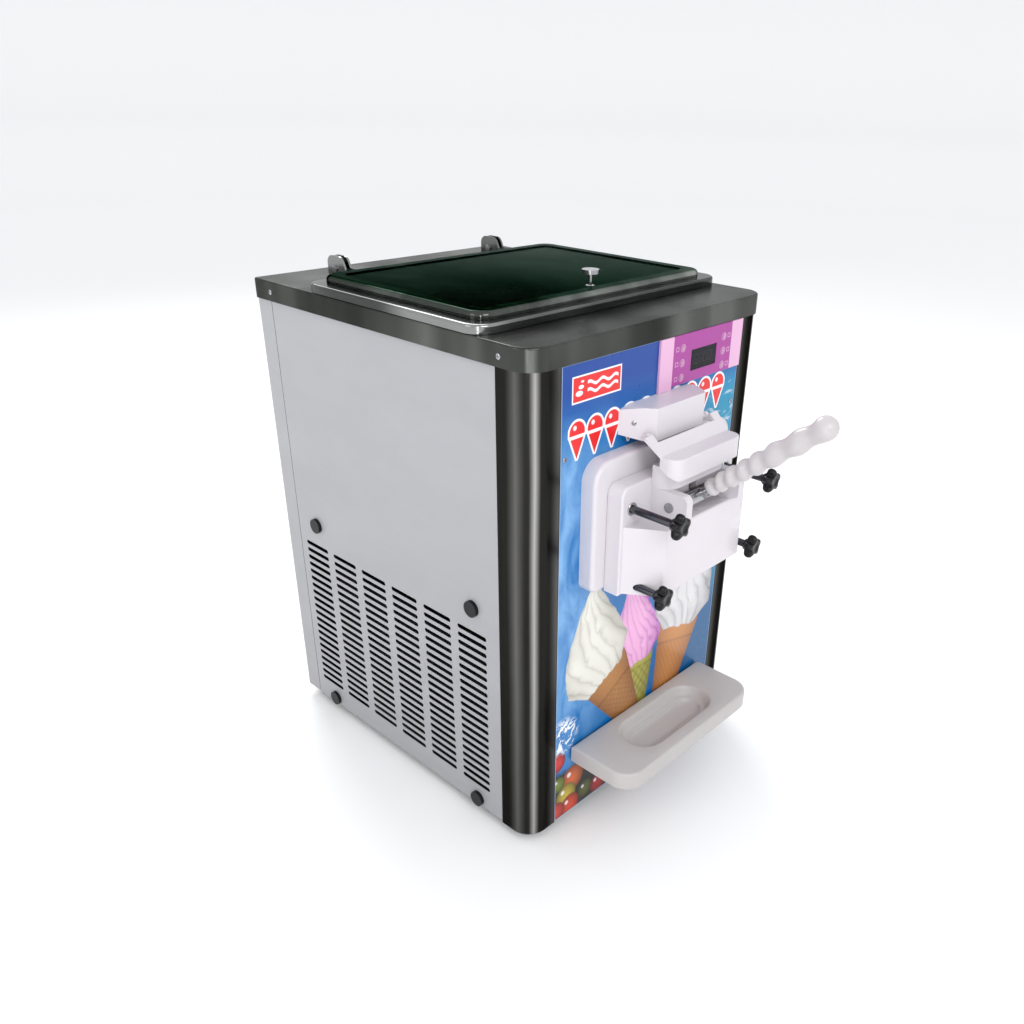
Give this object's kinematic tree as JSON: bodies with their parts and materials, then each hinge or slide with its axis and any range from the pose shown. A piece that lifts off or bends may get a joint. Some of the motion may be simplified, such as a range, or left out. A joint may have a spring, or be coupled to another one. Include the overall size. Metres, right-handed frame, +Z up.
{
  "type": "soft ice cream machine",
  "caption": "Counter-top soft ice cream machine with a hinged hopper lid, draw lever, clamped dispensing door, drip tray and louvred sides.",
  "frame": {"origin": "on the surface the feet stand on, under the middle of the whole machine's box", "axes": "+Z up; the dispensing front faces -Y; +X is on the right of a person who stands in front of the machine and looks at it"},
  "size_m": [0.458, 0.7828, 0.7273],
  "materials": {
    "stainless_steel": "brushed, darkened by reflections",
    "polished_steel": "polished",
    "white_paint": "satin light grey-white",
    "white_plastic": "smooth semi-gloss white",
    "tray_plastic": "satin pale grey",
    "black_plastic": "satin black",
    "rubber": "matt",
    "printed_film": null,
    "control_film": "magenta and pale pink film",
    "display_glass": "dark smoked window",
    "key_plastic": "satin white keys",
    "food_seal": "white silicone",
    "foam": "rigid foam, skinned",
    "copper": "drawn copper tube",
    "aluminium": "finned",
    "black_paint": "black enamel",
    "grey_paint": "grey enamel",
    "cast_metal": "cast, machined",
    "galvanised": "zinc-coated sheet"
  },
  "bodies": {
    "casing": {"base_pan": "galvanised", "rubber_feet": "rubber", "corner_posts": "stainless_steel", "front_graphic": "printed_film", "front_panel": "galvanised", "left_side_panel": "white_paint", "right_side_panel": "white_paint", "rear_panel": "white_paint", "power_gland": "black_plastic", "panel_plugs": "black_plastic", "top_cover": "stainless_steel", "hopper_tank": "stainless_steel", "mix_feed_tube": "polished_steel", "hinge_brackets": "stainless_steel", "hinge_pins": "polished_steel", "control_panel": "control_film", "display_window": "display_glass", "head_plate": "white_plastic", "door_gasket": "food_seal", "dispensing_door": "white_plastic", "clamp_studs": "polished_steel", "lever_pivot_pin": "polished_steel", "spout_nozzle": "white_plastic", "feed_chute": "white_plastic", "lid_bracket": "white_plastic", "tray_hooks": "polished_steel", "freezing_cylinder": "polished_steel", "insulation_jacket": "foam", "shaft_seal": "rubber", "gearbox": "cast_metal", "drive_belt": "rubber", "beater_motor": "grey_paint", "condenser": "aluminium", "fan_shroud": "galvanised", "fan_motor": "black_paint", "compressor": "black_paint", "refrigerant_pipes": "copper"},
    "hopper_lid_body": {"hopper_lid": "stainless_steel", "lid_knob": "polished_steel"},
    "lever": {"draw_lever": "polished_steel", "lever_grip": "white_plastic"},
    "plunger_body": {"plunger": "white_plastic", "plunger_seals": "food_seal"},
    "feed_lid_body": {"feed_lid": "white_plastic"},
    "dasher": {"beater": "polished_steel", "scraper_blades": "food_seal"},
    "gearbox_sheave": {"gearbox_pulley": "cast_metal"},
    "motor_sheave": {"motor_pulley": "cast_metal"},
    "fan": {"fan_blades": "aluminium"},
    "tray": {"drip_tray": "tray_plastic"},
    "knob_left_upper": {"star_knob_left_upper": "black_plastic"},
    "knob_right_upper": {"star_knob_right_upper": "black_plastic"},
    "knob_left_lower": {"star_knob_left_lower": "black_plastic"},
    "knob_right_lower": {"star_knob_right_lower": "black_plastic"},
    "key_left_1": {"left_button_1": "key_plastic"},
    "key_left_2": {"left_button_2": "key_plastic"},
    "key_left_3": {"left_button_3": "key_plastic"},
    "key_right_1": {"right_button_1": "key_plastic"},
    "key_right_2": {"right_button_2": "key_plastic"},
    "key_right_3": {"right_button_3": "key_plastic"}
  },
  "joints": [
    {"name": "hopper_lid_hinge", "type": "hinge", "parent": "casing", "child": "hopper_lid_body", "pos_m": [0, 0.29992, 0.7], "axis": [-1, 0, 0], "range_deg": [0, 95]},
    {"name": "lever_pull", "type": "hinge", "parent": "casing", "child": "lever", "pos_m": [0, -0.22358, 0.483], "axis": [1, 0, 0], "range_deg": [0, 45]},
    {"name": "plunger_lift", "type": "slide", "parent": "casing", "child": "plunger_body", "axis": [0, 0, 1], "range_m": [0, 0.0215]},
    {"name": "feed_lid_hinge", "type": "hinge", "parent": "casing", "child": "feed_lid_body", "pos_m": [0, -0.18158, 0.56], "axis": [-1, 0, 0], "range_deg": [0, 75]},
    {"name": "dasher_turn", "type": "hinge", "parent": "casing", "child": "dasher", "pos_m": [0, 0, 0.432], "axis": [0, 1, 0], "continuous": true},
    {"name": "gearbox_pulley_turn", "type": "hinge", "parent": "casing", "child": "gearbox_sheave", "pos_m": [0, 0.3, 0.432], "axis": [0, 1, 0], "continuous": true},
    {"name": "motor_pulley_turn", "type": "hinge", "parent": "casing", "child": "motor_sheave", "pos_m": [0.092, 0.3, 0.126], "axis": [0, 1, 0], "continuous": true},
    {"name": "fan_turn", "type": "hinge", "parent": "casing", "child": "fan", "pos_m": [-0.15, 0.09392, 0.166], "axis": [1, 0, 0], "continuous": true},
    {"name": "tray_lift", "type": "slide", "parent": "casing", "child": "tray", "axis": [0, 0, 1], "range_m": [0, 0.02]},
    {"name": "knob_turn_left_upper", "type": "hinge", "parent": "casing", "child": "knob_left_upper", "pos_m": [-0.098, -0.26558, 0.484], "axis": [0, -1, 0], "continuous": true},
    {"name": "knob_turn_right_upper", "type": "hinge", "parent": "casing", "child": "knob_right_upper", "pos_m": [0.098, -0.26558, 0.484], "axis": [0, -1, 0], "continuous": true},
    {"name": "knob_turn_left_lower", "type": "hinge", "parent": "casing", "child": "knob_left_lower", "pos_m": [-0.098, -0.24958, 0.384], "axis": [0, -1, 0], "continuous": true},
    {"name": "knob_turn_right_lower", "type": "hinge", "parent": "casing", "child": "knob_right_lower", "pos_m": [0.098, -0.24958, 0.384], "axis": [0, -1, 0], "continuous": true},
    {"name": "key_press_left_1", "type": "slide", "parent": "casing", "child": "key_left_1", "axis": [0, 1, 0], "range_m": [0, 0.0008], "stiffness_N_per_m": 300},
    {"name": "key_press_left_2", "type": "slide", "parent": "casing", "child": "key_left_2", "axis": [0, 1, 0], "range_m": [0, 0.0008], "stiffness_N_per_m": 300},
    {"name": "key_press_left_3", "type": "slide", "parent": "casing", "child": "key_left_3", "axis": [0, 1, 0], "range_m": [0, 0.0008], "stiffness_N_per_m": 300},
    {"name": "key_press_right_1", "type": "slide", "parent": "casing", "child": "key_right_1", "axis": [0, 1, 0], "range_m": [0, 0.0008], "stiffness_N_per_m": 300},
    {"name": "key_press_right_2", "type": "slide", "parent": "casing", "child": "key_right_2", "axis": [0, 1, 0], "range_m": [0, 0.0008], "stiffness_N_per_m": 300},
    {"name": "key_press_right_3", "type": "slide", "parent": "casing", "child": "key_right_3", "axis": [0, 1, 0], "range_m": [0, 0.0008], "stiffness_N_per_m": 300}
  ],
  "couplings": [
    {"joint": "plunger_lift", "follows": "lever_pull", "m_per_rad": 0.027286},
    {"joint": "gearbox_pulley_turn", "follows": "dasher_turn", "ratio": 8},
    {"joint": "motor_pulley_turn", "follows": "dasher_turn", "ratio": 16.364}
  ]
}
